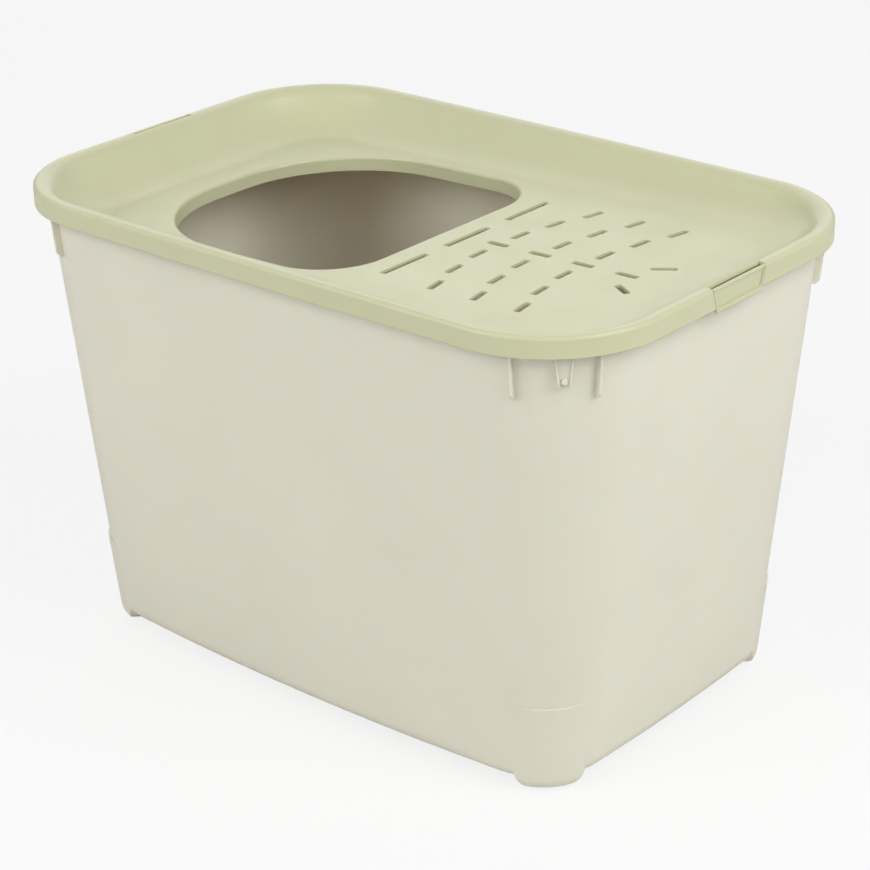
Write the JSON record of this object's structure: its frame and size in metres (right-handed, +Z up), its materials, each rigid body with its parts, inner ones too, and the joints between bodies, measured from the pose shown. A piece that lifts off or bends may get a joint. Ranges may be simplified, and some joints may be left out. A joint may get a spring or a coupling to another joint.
{
  "type": "top entry litter box",
  "caption": "Deep tapered plastic tub with a clip-on tray lid that has a large D-shaped entry opening and slots that let litter fall back inside.",
  "frame": {"origin": "on the ground, under the centre of the box", "axes": "+X along the length, towards the end with the litter slots; +Y across; +Z up"},
  "size_m": [0.5914, 0.3906, 0.3882],
  "materials": {
    "bin_plastic": "warm beige polypropylene, finely textured and satin",
    "lid_plastic": "pale sage green polypropylene, finely textured and satin"
  },
  "bodies": {
    "bin": {"bin": "bin_plastic"},
    "lid": {"lid": "lid_plastic"},
    "left_clip": {"left_clip": "lid_plastic"},
    "right_clip": {"right_clip": "lid_plastic"}
  },
  "joints": [
    {"name": "lid_lift", "type": "slide", "parent": "bin", "child": "lid", "axis": [0, 0, 1], "range_m": [0, 0.1]},
    {"name": "left_clip_flex", "type": "hinge", "parent": "lid", "child": "left_clip", "pos_m": [-0.2944, 0, 0.3864], "axis": [0, 1, 0], "range_deg": [0, 6], "stiffness_Nm_per_rad": 1.5},
    {"name": "right_clip_flex", "type": "hinge", "parent": "lid", "child": "right_clip", "pos_m": [0.2944, 0, 0.3864], "axis": [0, -1, 0], "range_deg": [0, 6], "stiffness_Nm_per_rad": 1.5}
  ]
}
